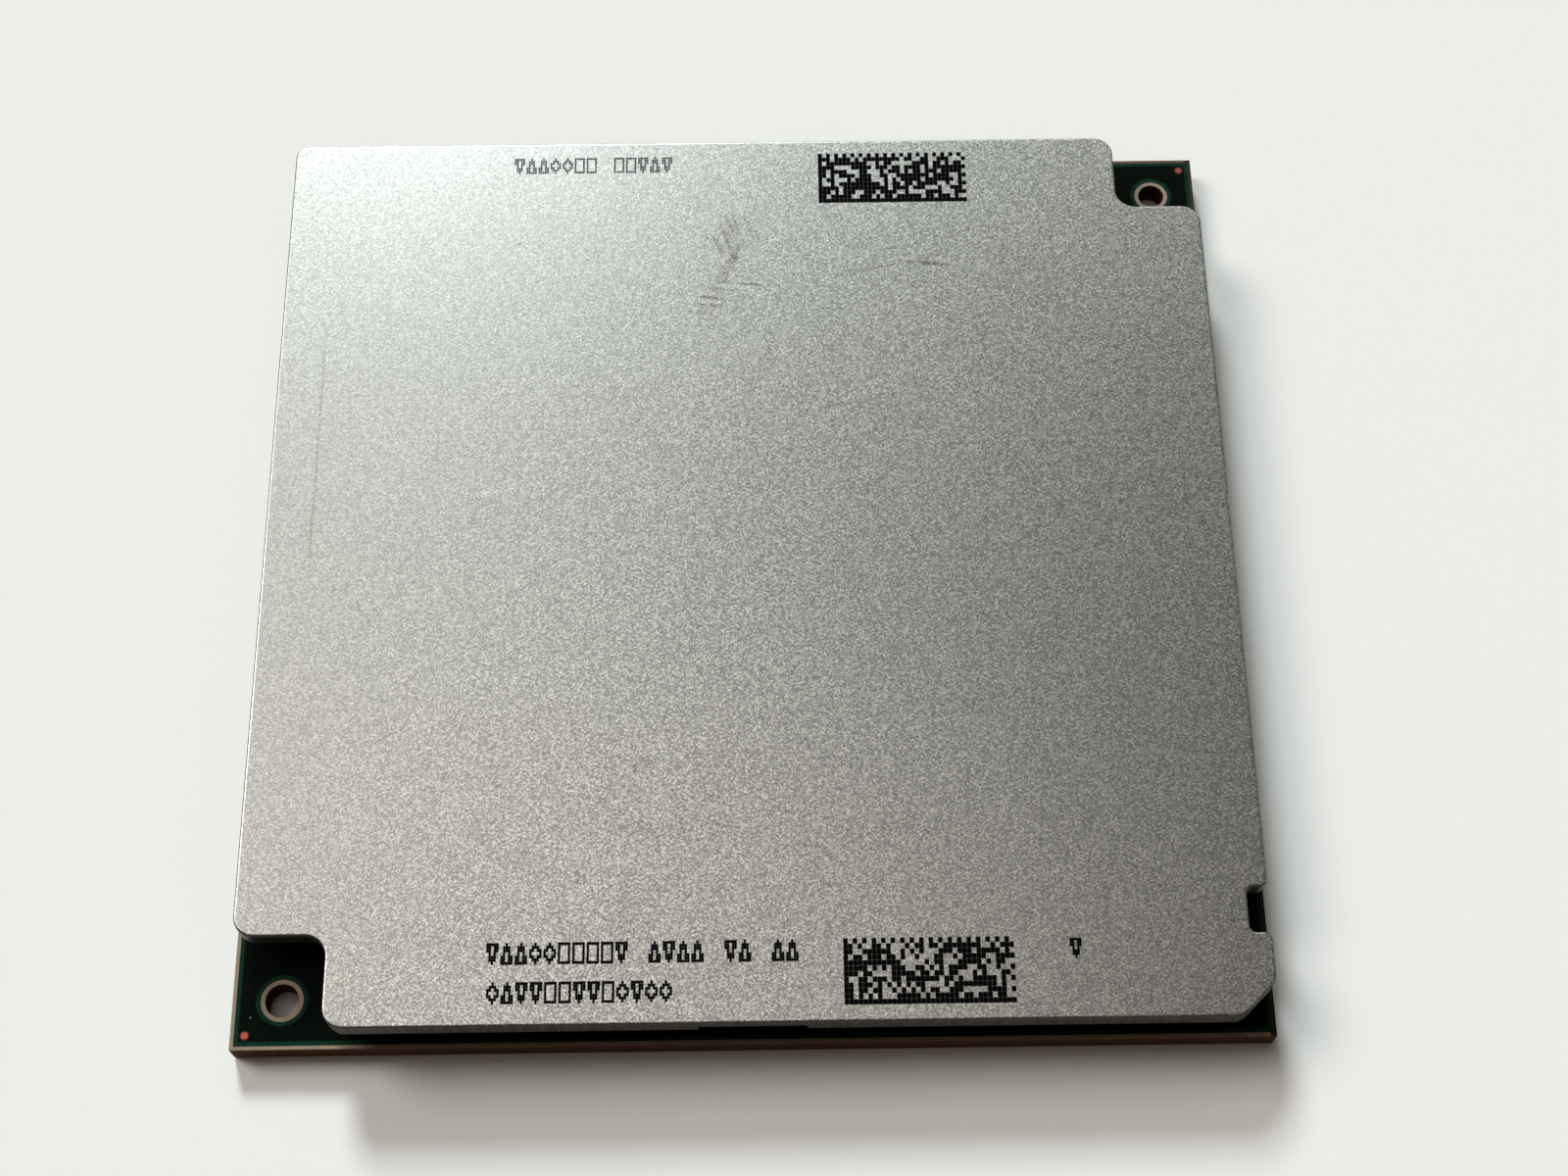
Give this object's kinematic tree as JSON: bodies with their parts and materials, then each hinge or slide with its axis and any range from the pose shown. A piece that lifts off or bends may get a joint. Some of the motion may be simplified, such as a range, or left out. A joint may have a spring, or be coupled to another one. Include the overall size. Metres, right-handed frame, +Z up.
{
  "type": "processor module",
  "caption": "Square land grid processor module: a notched matte metal lid bonded to a dark green laminate board with locating holes and gold lands underneath.",
  "frame": {"origin": "centre of the board in plan, on the plane of the lands", "axes": "+Z up out of the lid's top, +Y to the rear, +X to the slotted edge"},
  "size_m": [0.0684, 0.0684, 0.0057],
  "materials": {
    "nickel": "matte blasted nickel plating",
    "laminate": "sawn glass and resin laminate",
    "mask": "satin dark green solder mask",
    "copper": "bare copper",
    "gold": "gold plating",
    "silicon": "ground silicon",
    "underfill": "cured black resin",
    "thermal": "grey thermal gel",
    "capacitor": "fired brown ceramic",
    "tin": "tinned ends",
    "seal": "grey silicone adhesive"
  },
  "bodies": {
    "root": {"laminate": "laminate", "top_mask": "mask", "bottom_mask": "mask", "corner_dots": "copper", "contact_lands": "gold", "outer_lands": "gold", "die": "silicon", "underfill": "underfill", "thermal_layer": "thermal", "capacitor_bodies": "capacitor", "capacitor_ends": "tin", "lid_seal": "seal", "lid": "nickel"}
  },
  "joints": []
}
